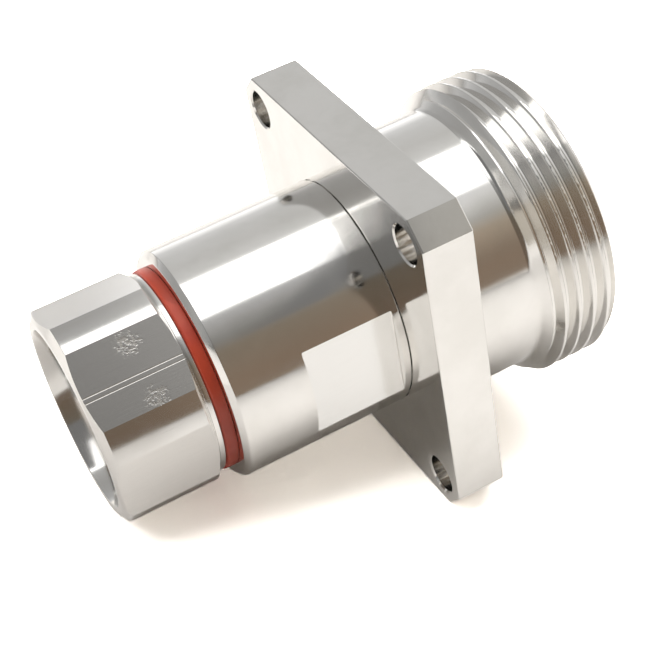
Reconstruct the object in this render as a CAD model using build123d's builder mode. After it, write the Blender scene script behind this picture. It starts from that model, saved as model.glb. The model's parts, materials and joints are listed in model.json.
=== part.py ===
from build123d import *
import math
import os

# Large coaxial panel connector, socket side, with a square four-hole flange and a clamp nut
# for a half-inch corrugated cable. Millimetres. +X is the axis, from the clamp nut to the
# mating thread, and +Z is up. The origin is the centre of the flange's face on the nut side.

# Flange
FLANGE_SIDE = 32.5
FLANGE_THICKNESS = 4.8
FLANGE_CORNER_CHAMFER = 2.1
FLANGE_EDGE_BREAK = 0.15
HOLE_EDGE_DISTANCE = 3.0
HOLE_DIAMETER = 3.6
HOLE_EDGE_BREAK = 0.15

# Mating thread, M29 x 1.5 over its crests, and the neck behind it
THREAD_DIAMETER = 28.8
THREAD_LENGTH = 6.1
THREAD_CHAMFER = 0.75
SHOULDER_LENGTH = 1.6
NECK_UNDERCUT = 1.6
NECK_LENGTH = 7.3
NECK_FILLET = 0.8

# Mating face: the air line, the contact rim round it, the recess and its flared mouth
AIR_LINE_DIAMETER = 16.0
CONTACT_RIM_WIDTH = 1.25
CONTACT_PLANE_DEPTH = 9.6
MOUTH_FLARE = 1.5
MOUTH_DEPTH = 1.6

# Clearance between pieces that sit inside each other
FIT_CLEARANCE = 0.05

# Dielectric beads
BEAD_STEP = 0.35
BEAD_LENGTH = 3.8
BEAD_FRONT_BEHIND_CONTACT_PLANE = 6.8
REAR_BEAD_LENGTH = 1.8
REAR_BEAD_SETBACK = 1.2

# Centre contact: slotted socket, rod and slotted collet for the cable's inner conductor
SOCKET_DIAMETER = 7.0
SOCKET_WALL = 1.0
SOCKET_TIP_SETBACK = 0.2
SOCKET_FLOOR = 0.4
SOCKET_SLOTS = 4
SOCKET_SLOT_WIDTH = 0.5
SOCKET_SLOT_ROOT = 0.6
ROD_STEP = 0.8
ROD_PAST_REAR_BEAD = 0.2
COLLET_STEP = 0.6
COLLET_WALL = 0.9
COLLET_LENGTH = 6.0
COLLET_FLOOR = 1.0
COLLET_SLOTS = 4
COLLET_SLOT_WIDTH = 0.5
COLLET_SLOT_ROOT = 0.8
CONTACT_EDGE = 0.3
SLOT_OVERRUN = 1.0

# Joint between the shell's spigot and the rear sleeve, sealed by a ring at the spigot's end.
# The sleeve's front end sits in a shallow spot face in the flange.
SPIGOT_WALL = 0.8
SPIGOT_LENGTH = 5.5
SPIGOT_CHAMFER = 0.3
SPOT_FACE_DEPTH = 0.2
LAND_LENGTH = 1.7

# Rear sleeve
SLEEVE_WALL = 1.75
SLEEVE_END_CHAMFER = 0.5
WRENCH_FLAT_DEPTH = 1.0
WRENCH_FLAT_LENGTH = 8.8
WRENCH_FLAT_RIM = 0.7

# Clamp thread between sleeve and nut
CLAMP_THREAD_LENGTH = 4.1
CLAMP_THREAD_CLEARANCE = 0.25
THREAD_RELIEF_DEPTH = 0.4
THREAD_RELIEF_PAST_GASKET = 0.2
THREAD_END_CHAMFER = 0.4
NUT_TIP_WALL = 0.65

# Clamp ring with spring fingers, its garter spring and the thrust washer
RING_CLEARANCE = 0.35
POCKET_CLEARANCE = 0.25
RING_LENGTH = 2.7
RING_TAIL_WALL = 0.65
RING_TAIL_LENGTH = 2.3
RING_GRIP_HEIGHT = 0.35
RING_GRIP_LENGTH = 0.6
RING_SLOTS = 6
RING_SLOT_WIDTH = 0.8
RING_SLOT_PAST_SHOULDER = 0.6
SPRING_WIRE_RING = 0.7
SPRING_SETBACK = 1.4
WASHER_THICKNESS = 0.5

# Contact cone that carries the cable's flared outer conductor, at 45 degrees
CONE_FLANGE_THICKNESS = 0.8
CONE_TIP_SETBACK = 0.7
CONE_TIP_WALL = 0.4
CONE_LENGTH = 1.5
RING_GAP = 0.5
RING_CONE_GAP = 1.0

# Clamp nut
NUT_FLAT_HEIGHT = 0.5
NUT_CORNER_HEIGHT = 0.65
NUT_HEX_LENGTH = 8.95
NUT_FACE_SETBACK = 0.3
NUT_CHAMFER_ANGLE = 30.0
NUT_FRONT_CHAMFER = 0.15
NUT_TURN = 10.0
NUT_END_RIM = 0.7
CABLE_BORE_FLARE = 0.4
CABLE_BORE_FLARE_LENGTH = 2.0
COLLAR_SETBACK = 0.1
COLLAR_LENGTH = 0.55

# Seals in the nut
GASKET_WIDTH = 0.95
GASKET_THICKNESS = 1.6
GASKET_EDGE = 0.4
JACKET_SEAL_STEP = 0.7
JACKET_SEAL_WIDTH = 1.15
JACKET_SEAL_LENGTH = 1.9
JACKET_SEAL_SETBACK = 5.2

# Radii of the shell and beads, worked outwards from the air line
thread_r = THREAD_DIAMETER / 2
neck_r = thread_r - NECK_UNDERCUT
air_line_r = AIR_LINE_DIAMETER / 2
recess_r = air_line_r + CONTACT_RIM_WIDTH
mouth_r = recess_r + MOUTH_FLARE
bead_r = air_line_r + BEAD_STEP
rear_bore_r = bead_r + FIT_CLEARANCE
spigot_r = rear_bore_r + SPIGOT_WALL
socket_r = SOCKET_DIAMETER / 2
rod_r = socket_r - ROD_STEP
collet_r = rod_r + COLLET_STEP
bead_bore_r = rod_r + FIT_CLEARANCE
hole_pitch = FLANGE_SIDE - 2 * HOLE_EDGE_DISTANCE

# Radii of the clamp, worked inwards from the sleeve's bore
cavity_r = spigot_r + FIT_CLEARANCE
sleeve_r = cavity_r + SLEEVE_WALL
land_r = rear_bore_r + FIT_CLEARANCE
seal_section = cavity_r - land_r
clamp_thread_r = cavity_r - CLAMP_THREAD_CLEARANCE
relief_r = clamp_thread_r - THREAD_RELIEF_DEPTH
pocket_r = relief_r - NUT_TIP_WALL
ring_r = cavity_r - RING_CLEARANCE
ring_tail_r = pocket_r - POCKET_CLEARANCE
ring_bore_r = ring_tail_r - RING_TAIL_WALL
ring_grip_r = ring_bore_r - RING_GRIP_HEIGHT
cone_tip_r = ring_grip_r - CONE_TIP_SETBACK
cone_bore_r = cone_tip_r - CONE_TIP_WALL
cone_base_r = cone_tip_r + CONE_LENGTH

# Radii of the nut and its seals
nut_flat_r = clamp_thread_r + NUT_FLAT_HEIGHT
nut_corner_r = nut_flat_r + NUT_CORNER_HEIGHT
nut_face_r = nut_flat_r - NUT_FACE_SETBACK
cable_bore_r = nut_face_r - NUT_END_RIM - CABLE_BORE_FLARE
nut_inner_r = ring_bore_r + POCKET_CLEARANCE
jacket_seal_r = cable_bore_r + JACKET_SEAL_STEP
seal_groove_r = jacket_seal_r + FIT_CLEARANCE
gasket_bore_r = relief_r + FIT_CLEARANCE
gasket_r = gasket_bore_r + GASKET_WIDTH
collar_r = gasket_r - COLLAR_SETBACK

# Stations along the axis: the shell, the beads and the centre contact
neck_end_x = FLANGE_THICKNESS + NECK_LENGTH
thread_start_x = neck_end_x + SHOULDER_LENGTH
front_x = thread_start_x + THREAD_LENGTH
contact_plane_x = front_x - CONTACT_PLANE_DEPTH
socket_tip_x = contact_plane_x - SOCKET_TIP_SETBACK
bead_front_x = contact_plane_x - BEAD_FRONT_BEHIND_CONTACT_PLANE
bead_rear_x = bead_front_x - BEAD_LENGTH
rear_bead_front_x = bead_rear_x - REAR_BEAD_SETBACK
rear_bead_rear_x = rear_bead_front_x - REAR_BEAD_LENGTH
rod_end_x = rear_bead_rear_x - ROD_PAST_REAR_BEAD
collet_end_x = rod_end_x - COLLET_LENGTH

# Stations along the axis: the sleeve and the clamp inside it
spigot_end_x = -SPIGOT_LENGTH
land_front_x = spigot_end_x - seal_section
land_rear_x = land_front_x - LAND_LENGTH
cone_base_x = land_rear_x - CONE_FLANGE_THICKNESS
cone_tip_x = cone_base_x - CONE_LENGTH
ring_front_x = cone_base_x - RING_GAP
ring_shoulder_x = ring_front_x - RING_LENGTH
ring_tail_x = ring_shoulder_x - RING_TAIL_LENGTH
nut_tip_x = ring_shoulder_x - WASHER_THICKNESS
sleeve_end_x = nut_tip_x - CLAMP_THREAD_LENGTH

# Stations along the axis: the nut and its seals
gasket_rear_x = sleeve_end_x - GASKET_THICKNESS
relief_end_x = sleeve_end_x + THREAD_RELIEF_PAST_GASKET
hex_front_x = gasket_rear_x - COLLAR_LENGTH
hex_end_x = hex_front_x - NUT_HEX_LENGTH
jacket_seal_rear_x = hex_end_x + JACKET_SEAL_SETBACK
jacket_seal_front_x = jacket_seal_rear_x + JACKET_SEAL_LENGTH

os.makedirs("parts", exist_ok=True)


# Front shell: flange, neck, mating thread and rear spigot, one turned and milled piece
with BuildPart() as front_shell:
    with BuildSketch(Plane.YZ) as flange_outline:
        Rectangle(FLANGE_SIDE, FLANGE_SIDE)
        chamfer(flange_outline.vertices(), FLANGE_CORNER_CHAMFER)
    extrude(amount=FLANGE_THICKNESS)
    chamfer(front_shell.faces().filter_by(Axis.X).edges(), FLANGE_EDGE_BREAK)
    with BuildSketch(Plane.XY):
        with BuildLine():
            Polyline(
                (spigot_end_x, 0),
                (spigot_end_x, spigot_r - SPIGOT_CHAMFER),
                (spigot_end_x + SPIGOT_CHAMFER, spigot_r),
                (FLANGE_THICKNESS / 2, spigot_r),
                (FLANGE_THICKNESS / 2, neck_r),
                (neck_end_x, neck_r),
                (thread_start_x, thread_r),
                (front_x - THREAD_CHAMFER, thread_r),
                (front_x, thread_r - THREAD_CHAMFER),
                (front_x, 0),
                close=True,
            )
        make_face()
    revolve(axis=Axis.X)
    neck_corner = front_shell.edges().filter_by(GeomType.CIRCLE)
    neck_corner = neck_corner.filter_by(lambda e: abs(e.arc_center.X - neck_end_x) < 1e-4)
    fillet(neck_corner, NECK_FILLET)
    with BuildSketch(Plane.XY):
        with BuildLine():
            Polyline(
                (spigot_end_x, 0),
                (spigot_end_x, rear_bore_r),
                (bead_front_x, rear_bore_r),
                (bead_front_x, air_line_r),
                (contact_plane_x, air_line_r),
                (contact_plane_x, recess_r),
                (front_x - MOUTH_DEPTH, recess_r),
                (front_x, mouth_r),
                (front_x, 0),
                close=True,
            )
        make_face()
    revolve(axis=Axis.X, mode=Mode.SUBTRACT)
    with Locations(Plane.YZ.offset(FLANGE_THICKNESS)):
        with GridLocations(hole_pitch, hole_pitch, 2, 2):
            Hole(HOLE_DIAMETER / 2, depth=FLANGE_THICKNESS)
    hole_rims = front_shell.edges().filter_by(GeomType.CIRCLE)
    hole_rims = hole_rims.filter_by(lambda e: abs(e.radius - HOLE_DIAMETER / 2) < 1e-4)
    chamfer(hole_rims, HOLE_EDGE_BREAK)
    with BuildSketch(Plane.YZ):
        Circle(sleeve_r + FIT_CLEARANCE)
        Circle(spigot_r, mode=Mode.SUBTRACT)
    extrude(amount=SPOT_FACE_DEPTH, mode=Mode.SUBTRACT)
front_shell.part.label = "front_shell"
export_step(front_shell.part, "parts/front_shell.step")


# Rear sleeve, screwed on the spigot up to the spot face, with two opposite wrench flats
with BuildPart() as rear_sleeve:
    with BuildSketch(Plane.XY):
        with BuildLine():
            Polyline(
                (SPOT_FACE_DEPTH, cavity_r),
                (SPOT_FACE_DEPTH, sleeve_r),
                (sleeve_end_x + SLEEVE_END_CHAMFER, sleeve_r),
                (sleeve_end_x, sleeve_r - SLEEVE_END_CHAMFER),
                (sleeve_end_x, cavity_r),
                (land_rear_x, cavity_r),
                (land_rear_x, land_r),
                (land_front_x, land_r),
                (land_front_x, cavity_r),
                close=True,
            )
        make_face()
    revolve(axis=Axis.X)
    with Locations((-WRENCH_FLAT_RIM - WRENCH_FLAT_LENGTH / 2, 0, 0)):
        with GridLocations(0, 2 * sleeve_r, 1, 2):
            Box(WRENCH_FLAT_LENGTH, 2 * WRENCH_FLAT_DEPTH, 2 * sleeve_r, mode=Mode.SUBTRACT)
rear_sleeve.part.label = "rear_sleeve"
export_step(rear_sleeve.part, "parts/rear_sleeve.step")


# Seal ring in the sleeve's bore, between the spigot's end and the land
with BuildPart() as body_seal:
    with BuildSketch(Plane.XY):
        with Locations((spigot_end_x - seal_section / 2, cavity_r - seal_section / 2)):
            Circle(seal_section / 2)
    revolve(axis=Axis.X)
body_seal.part.label = "body_seal"
export_step(body_seal.part, "parts/body_seal.step")


# Front bead, which centres the contact and butts against the air line's step
with BuildPart() as front_bead:
    with BuildSketch(Plane.YZ.offset(bead_rear_x)):
        Circle(bead_r)
        Circle(bead_bore_r, mode=Mode.SUBTRACT)
    extrude(amount=BEAD_LENGTH)
front_bead.part.label = "front_bead"
export_step(front_bead.part, "parts/front_bead.step")


# Rear bead, inside the contact cone's bore
with BuildPart() as rear_bead:
    with BuildSketch(Plane.YZ.offset(rear_bead_rear_x)):
        Circle(cone_bore_r - FIT_CLEARANCE)
        Circle(bead_bore_r, mode=Mode.SUBTRACT)
    extrude(amount=REAR_BEAD_LENGTH)
rear_bead.part.label = "rear_bead"
export_step(rear_bead.part, "parts/rear_bead.step")


# Centre contact: slotted socket in front, rod through the beads, slotted collet behind
socket_bore_depth = socket_tip_x - bead_front_x - SOCKET_FLOOR
collet_bore_depth = COLLET_LENGTH - COLLET_FLOOR
with BuildPart() as centre_contact:
    with BuildSketch(Plane.XY):
        with BuildLine():
            Polyline(
                (collet_end_x, 0),
                (collet_end_x, collet_r - CONTACT_EDGE),
                (collet_end_x + CONTACT_EDGE, collet_r),
                (rod_end_x, collet_r),
                (rod_end_x, rod_r),
                (bead_front_x, rod_r),
                (bead_front_x, socket_r),
                (socket_tip_x - CONTACT_EDGE, socket_r),
                (socket_tip_x, socket_r - CONTACT_EDGE),
                (socket_tip_x, 0),
                close=True,
            )
        make_face()
    revolve(axis=Axis.X)
    with BuildSketch(Plane.YZ.offset(socket_tip_x)):
        Circle(socket_r - SOCKET_WALL)
    extrude(amount=-socket_bore_depth, mode=Mode.SUBTRACT)
    with BuildSketch(Plane.YZ.offset(collet_end_x)):
        Circle(collet_r - COLLET_WALL)
    extrude(amount=collet_bore_depth, mode=Mode.SUBTRACT)
    with BuildSketch(Plane.YZ.offset(socket_tip_x)):
        with PolarLocations(0, SOCKET_SLOTS // 2, angular_range=180):
            Rectangle(2 * socket_r + SLOT_OVERRUN, SOCKET_SLOT_WIDTH)
    extrude(amount=SOCKET_SLOT_ROOT - socket_bore_depth, mode=Mode.SUBTRACT)
    with BuildSketch(Plane.YZ.offset(collet_end_x)):
        with PolarLocations(0, COLLET_SLOTS // 2, angular_range=180):
            Rectangle(2 * collet_r + SLOT_OVERRUN, COLLET_SLOT_WIDTH)
    extrude(amount=collet_bore_depth - COLLET_SLOT_ROOT, mode=Mode.SUBTRACT)
centre_contact.part.label = "centre_contact"
export_step(centre_contact.part, "parts/centre_contact.step")


# Contact cone: a tube behind the bead, a flange on the sleeve's land, and the flaring cone
with BuildPart() as contact_cone:
    with BuildSketch(Plane.XY):
        with BuildLine():
            Polyline(
                (bead_rear_x, cone_bore_r),
                (bead_rear_x, bead_r),
                (land_rear_x, bead_r),
                (land_rear_x, ring_r),
                (cone_base_x, ring_r),
                (cone_base_x, cone_base_r),
                (cone_tip_x, cone_tip_r),
                (cone_tip_x, cone_bore_r),
                close=True,
            )
        make_face()
    revolve(axis=Axis.X)
contact_cone.part.label = "contact_cone"
export_step(contact_cone.part, "parts/contact_cone.step")


# Clamp ring: a coned ring with spring fingers, a groove for the garter spring and a tail
ring_mouth_r = cone_base_r - RING_GAP + RING_CONE_GAP
grip_start_x = ring_front_x - (ring_mouth_r - ring_grip_r)
grip_end_x = grip_start_x - RING_GRIP_LENGTH
groove_x = ring_front_x - SPRING_SETBACK
groove_r = ring_r - SPRING_WIRE_RING
with BuildPart() as clamp_ring:
    with BuildSketch(Plane.XY):
        with BuildLine():
            Polyline(
                (ring_front_x, ring_mouth_r),
                (ring_front_x, ring_r),
                (groove_x + SPRING_WIRE_RING / 2, ring_r),
                (groove_x + SPRING_WIRE_RING / 2, groove_r),
                (groove_x - SPRING_WIRE_RING / 2, groove_r),
                (groove_x - SPRING_WIRE_RING / 2, ring_r),
                (ring_shoulder_x, ring_r),
                (ring_shoulder_x, ring_tail_r),
                (ring_tail_x, ring_tail_r),
                (ring_tail_x, ring_bore_r),
                (grip_end_x, ring_bore_r),
                (grip_end_x, ring_grip_r),
                (grip_start_x, ring_grip_r),
                close=True,
            )
        make_face()
    revolve(axis=Axis.X)
    with BuildSketch(Plane.YZ.offset(ring_front_x)):
        with PolarLocations(ring_r, RING_SLOTS):
            Rectangle(ring_r, RING_SLOT_WIDTH)
    extrude(amount=-RING_LENGTH - RING_SLOT_PAST_SHOULDER, mode=Mode.SUBTRACT)
clamp_ring.part.label = "clamp_ring"
export_step(clamp_ring.part, "parts/clamp_ring.step")


# Garter spring, in the clamp ring's groove
with BuildPart() as garter_spring:
    with BuildSketch(Plane.XY):
        with Locations((groove_x, groove_r + SPRING_WIRE_RING / 2)):
            Circle(SPRING_WIRE_RING / 2)
    revolve(axis=Axis.X)
garter_spring.part.label = "garter_spring"
export_step(garter_spring.part, "parts/garter_spring.step")


# Thrust washer, between the clamp ring's shoulder and the nut's tip
with BuildPart() as thrust_washer:
    with BuildSketch(Plane.YZ.offset(nut_tip_x)):
        Circle(ring_r)
        Circle(ring_tail_r + FIT_CLEARANCE, mode=Mode.SUBTRACT)
    extrude(amount=WASHER_THICKNESS)
thrust_washer.part.label = "thrust_washer"
export_step(thrust_washer.part, "parts/thrust_washer.step")


# Clamp nut: hexagon with turned corners, collar, a flared cable bore, and a threaded tip
corner_cut = (nut_corner_r - nut_face_r) * math.tan(math.radians(NUT_CHAMFER_ANGLE))
with BuildPart() as clamp_nut:
    with BuildSketch(Plane.YZ.offset(hex_end_x)):
        RegularPolygon(nut_flat_r, 6, major_radius=False, rotation=90 + NUT_TURN)
    extrude(amount=NUT_HEX_LENGTH)
    with BuildSketch(Plane.XY):
        with BuildLine():
            Polyline(
                (hex_end_x, 0),
                (hex_end_x, nut_face_r),
                (hex_end_x + corner_cut, nut_corner_r),
                (hex_front_x - NUT_FRONT_CHAMFER, nut_corner_r),
                (hex_front_x, nut_corner_r - NUT_FRONT_CHAMFER),
                (hex_front_x, 0),
                close=True,
            )
        make_face()
    revolve(axis=Axis.X, mode=Mode.INTERSECT)
    with BuildSketch(Plane.XY):
        with BuildLine():
            Polyline(
                (hex_front_x, 0),
                (hex_front_x, collar_r),
                (gasket_rear_x, collar_r),
                (gasket_rear_x, relief_r),
                (relief_end_x, relief_r),
                (relief_end_x + THREAD_RELIEF_DEPTH, clamp_thread_r),
                (nut_tip_x - THREAD_END_CHAMFER, clamp_thread_r),
                (nut_tip_x, clamp_thread_r - THREAD_END_CHAMFER),
                (nut_tip_x, 0),
                close=True,
            )
        make_face()
    revolve(axis=Axis.X)
    with BuildSketch(Plane.XY):
        with BuildLine():
            Polyline(
                (hex_end_x, 0),
                (hex_end_x, cable_bore_r + CABLE_BORE_FLARE),
                (hex_end_x + CABLE_BORE_FLARE_LENGTH, cable_bore_r),
                (jacket_seal_rear_x, cable_bore_r),
                (jacket_seal_rear_x, seal_groove_r),
                (jacket_seal_front_x, seal_groove_r),
                (jacket_seal_front_x, nut_inner_r),
                (ring_tail_x - POCKET_CLEARANCE, nut_inner_r),
                (ring_tail_x - POCKET_CLEARANCE, pocket_r),
                (nut_tip_x, pocket_r),
                (nut_tip_x, 0),
                close=True,
            )
        make_face()
    revolve(axis=Axis.X, mode=Mode.SUBTRACT)
clamp_nut.part.label = "clamp_nut"
export_step(clamp_nut.part, "parts/clamp_nut.step")


# Gasket ring between the nut's collar and the sleeve's end
with BuildPart() as nut_gasket:
    with BuildSketch(Plane.YZ.offset(gasket_rear_x)):
        Circle(gasket_r)
        Circle(gasket_bore_r, mode=Mode.SUBTRACT)
    extrude(amount=GASKET_THICKNESS)
    outer_rims = nut_gasket.edges().filter_by(GeomType.CIRCLE)
    outer_rims = outer_rims.filter_by(lambda e: abs(e.radius - gasket_r) < 1e-4)
    fillet(outer_rims, GASKET_EDGE)
nut_gasket.part.label = "nut_gasket"
export_step(nut_gasket.part, "parts/nut_gasket.step")


# Jacket seal, held in the nut's inner groove
with BuildPart() as jacket_seal:
    with BuildSketch(Plane.YZ.offset(jacket_seal_rear_x)):
        Circle(jacket_seal_r)
        Circle(jacket_seal_r - JACKET_SEAL_WIDTH, mode=Mode.SUBTRACT)
    extrude(amount=JACKET_SEAL_LENGTH)
jacket_seal.part.label = "jacket_seal"
export_step(jacket_seal.part, "parts/jacket_seal.step")
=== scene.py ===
"""Looks of a large coaxial panel connector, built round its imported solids.

The turned and milled pieces are made again with smooth curves, broken edges and a real helical thread,
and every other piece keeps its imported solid. All sizes are millimetres unless a name says otherwise.
"""

import json
import logging
import math
from collections.abc import Sequence
from dataclasses import dataclass, field
from enum import Enum

import bmesh
import bpy
from mathutils import Matrix, Vector


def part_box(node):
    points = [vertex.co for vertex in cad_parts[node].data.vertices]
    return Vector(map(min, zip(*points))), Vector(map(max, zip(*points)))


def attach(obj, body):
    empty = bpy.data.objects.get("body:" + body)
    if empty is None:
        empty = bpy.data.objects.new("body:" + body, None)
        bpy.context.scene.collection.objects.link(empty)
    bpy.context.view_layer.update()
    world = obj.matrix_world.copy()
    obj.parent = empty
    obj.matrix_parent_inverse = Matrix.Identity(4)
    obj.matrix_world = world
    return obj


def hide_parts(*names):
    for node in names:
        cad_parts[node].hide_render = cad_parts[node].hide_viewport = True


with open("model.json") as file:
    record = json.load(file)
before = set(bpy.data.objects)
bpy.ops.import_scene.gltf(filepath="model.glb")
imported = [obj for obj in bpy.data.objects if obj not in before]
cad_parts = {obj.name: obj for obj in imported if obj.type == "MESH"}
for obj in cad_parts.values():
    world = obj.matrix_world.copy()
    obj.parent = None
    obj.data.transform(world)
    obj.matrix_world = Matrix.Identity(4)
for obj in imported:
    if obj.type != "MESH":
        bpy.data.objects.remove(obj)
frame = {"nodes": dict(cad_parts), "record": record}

log = logging.getLogger("connector")

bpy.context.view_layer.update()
MM = 0.001
LATHE_STEPS = 256
HOLE_STEPS = 64
SHARP_ANGLE = math.radians(18.0)
STEEP_ANGLE = math.radians(60.0)
AXIS = Vector((1.0, 0.0, 0.0))
NUT_TURN = math.radians(10.0)
NUT_FLAT_RADIUS = 9.5
NUT_FLAT_ANGLE = NUT_TURN + math.pi / 6
NUT_FLAT_NORMAL = Vector((0.0, -math.sin(NUT_FLAT_ANGLE), math.cos(NUT_FLAT_ANGLE)))
NUT_FLAT_ACROSS = Vector((0.0, -math.cos(NUT_FLAT_ANGLE), -math.sin(NUT_FLAT_ANGLE)))
Color = tuple[float, float, float]
Socket = bpy.types.NodeSocket
Piece = bpy.types.Object
Material = bpy.types.Material


class Body(Enum):
    """The moving bodies that pieces ride on."""

    SHELL = "shell"
    CLAMP = "clamp"
    NUT = "nut"


class Combine(Enum):
    """How one solid is combined with another."""

    ADD = "UNION"
    CUT = "DIFFERENCE"
    KEEP = "INTERSECT"


@dataclass(frozen=True)
class Corner:
    """A corner of a turned outline: its place along the axis, its radius and how far it is rounded."""

    x: float
    r: float
    rounding: float = 0.0


def mount(name: str) -> dict:
    """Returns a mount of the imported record.

    Args:
        name: The mount's name.

    Returns:
        The mount's entry, with its sizes in millimetres under "dims".
    """
    return next(m for m in frame["record"]["mounts"] if m["name"] == name)


def box_mm(node: str) -> tuple[Vector, Vector]:
    """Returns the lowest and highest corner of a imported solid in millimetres.

    Args:
        node: The solid's name.

    Returns:
        The two corners.
    """
    low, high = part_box(node)
    return low / MM, high / MM


def rounded(corners: Sequence[Corner], steps: int = 6) -> list[tuple[float, float]]:
    """Rounds the corners of a closed outline with arcs.

    Args:
        corners: The outline's corners, in order.
        steps: The number of pieces in each arc.

    Returns:
        The outline's points, as (x, r).
    """
    points = []
    for i, corner in enumerate(corners):
        here = Vector((corner.x, corner.r))
        if corner.rounding <= 0:
            points.append((here.x, here.y))
            continue
        back = Vector((corners[i - 1].x, corners[i - 1].r)) - here
        ahead_corner = corners[(i + 1) % len(corners)]
        ahead = Vector((ahead_corner.x, ahead_corner.r)) - here
        half = back.angle(ahead) / 2
        reach = corner.rounding / math.tan(half)
        inwards = (back.normalized() + ahead.normalized()).normalized()
        centre = here + inwards * corner.rounding / math.sin(half)
        start = here + back.normalized() * reach - centre
        sweep = math.pi - 2 * half
        turn = math.copysign(sweep, back.x * ahead.y - back.y * ahead.x)
        for k in range(steps + 1):
            arm = start.copy()
            arm.rotate(Matrix.Rotation(-turn * k / steps, 2))
            points.append(tuple(centre + arm))
    return points


def break_edges(
    bm: bmesh.types.BMesh, edges: Sequence[bmesh.types.BMEdge], width: float, segments: int = 3
) -> None:
    """Bevels edges of a mesh.

    Args:
        bm: The mesh.
        edges: The edges.
        width: The bevel's width, in millimetres.
        segments: The number of faces in each bevel.
    """
    bmesh.ops.bevel(
        bm, geom=edges, offset=width * MM, affect="EDGES", segments=segments, profile=0.5, material=-1
    )


def finish_mesh(bm: bmesh.types.BMesh, name: str) -> Piece:
    """Makes an object of a mesh, with smooth faces that break at sharp edges.

    Args:
        bm: The mesh, in metres. It is freed.
        name: The object's name.

    Returns:
        The object, at the origin of the scene.
    """
    mesh = bpy.data.meshes.new(name)
    bm.to_mesh(mesh)
    bm.free()
    piece = bpy.data.objects.new(name, mesh)
    bpy.context.scene.collection.objects.link(piece)
    smooth(piece)
    return piece


def smooth(piece: Piece) -> None:
    """Shades a piece smooth, with creases at its sharp edges.

    Args:
        piece: The piece.
    """
    piece.data.shade_smooth()
    piece.data.set_sharp_from_angle(angle=SHARP_ANGLE)


def even_normals(piece: Piece) -> None:
    """Lets a piece's large faces keep their own normals, so the narrow roundings take up the whole turn.

    Args:
        piece: The piece.
    """
    step = piece.modifiers.new("even normals", "WEIGHTED_NORMAL")
    step.keep_sharp = True
    step.weight = 100


def lathe(name: str, corners: Sequence[Corner], steps: int = LATHE_STEPS) -> Piece:
    """Turns a closed outline round the axis.

    Args:
        name: The object's name.
        corners: The outline's corners, in order.
        steps: The number of steps in the full turn.

    Returns:
        The turned solid.
    """
    bm = bmesh.new()
    ring = [bm.verts.new((x * MM, 0.0, r * MM)) for x, r in rounded(corners)]
    edges = [bm.edges.new(pair) for pair in zip(ring, ring[1:] + ring[:1])]
    bmesh.ops.spin(
        bm, geom=ring + edges, cent=(0, 0, 0), axis=AXIS, angle=math.tau, steps=steps, use_merge=True
    )
    bmesh.ops.recalc_face_normals(bm, faces=bm.faces)
    return finish_mesh(bm, name)


def combine(piece: Piece, tool: Piece, how: Combine) -> None:
    """Combines a tool's solid with a piece and removes the tool.

    Args:
        piece: The piece that changes.
        tool: The solid that is added, cut away or kept.
        how: What is done with it.
    """
    step = piece.modifiers.new("combine", "BOOLEAN")
    step.operation = how.value
    step.solver = "EXACT"
    step.object = tool
    bpy.context.view_layer.update()
    graph = bpy.context.evaluated_depsgraph_get()
    mesh = bpy.data.meshes.new_from_object(piece.evaluated_get(graph))
    piece.modifiers.clear()
    old = piece.data
    piece.data = mesh
    mesh.name = piece.name
    bpy.data.meshes.remove(old)
    bpy.data.objects.remove(tool)


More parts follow.
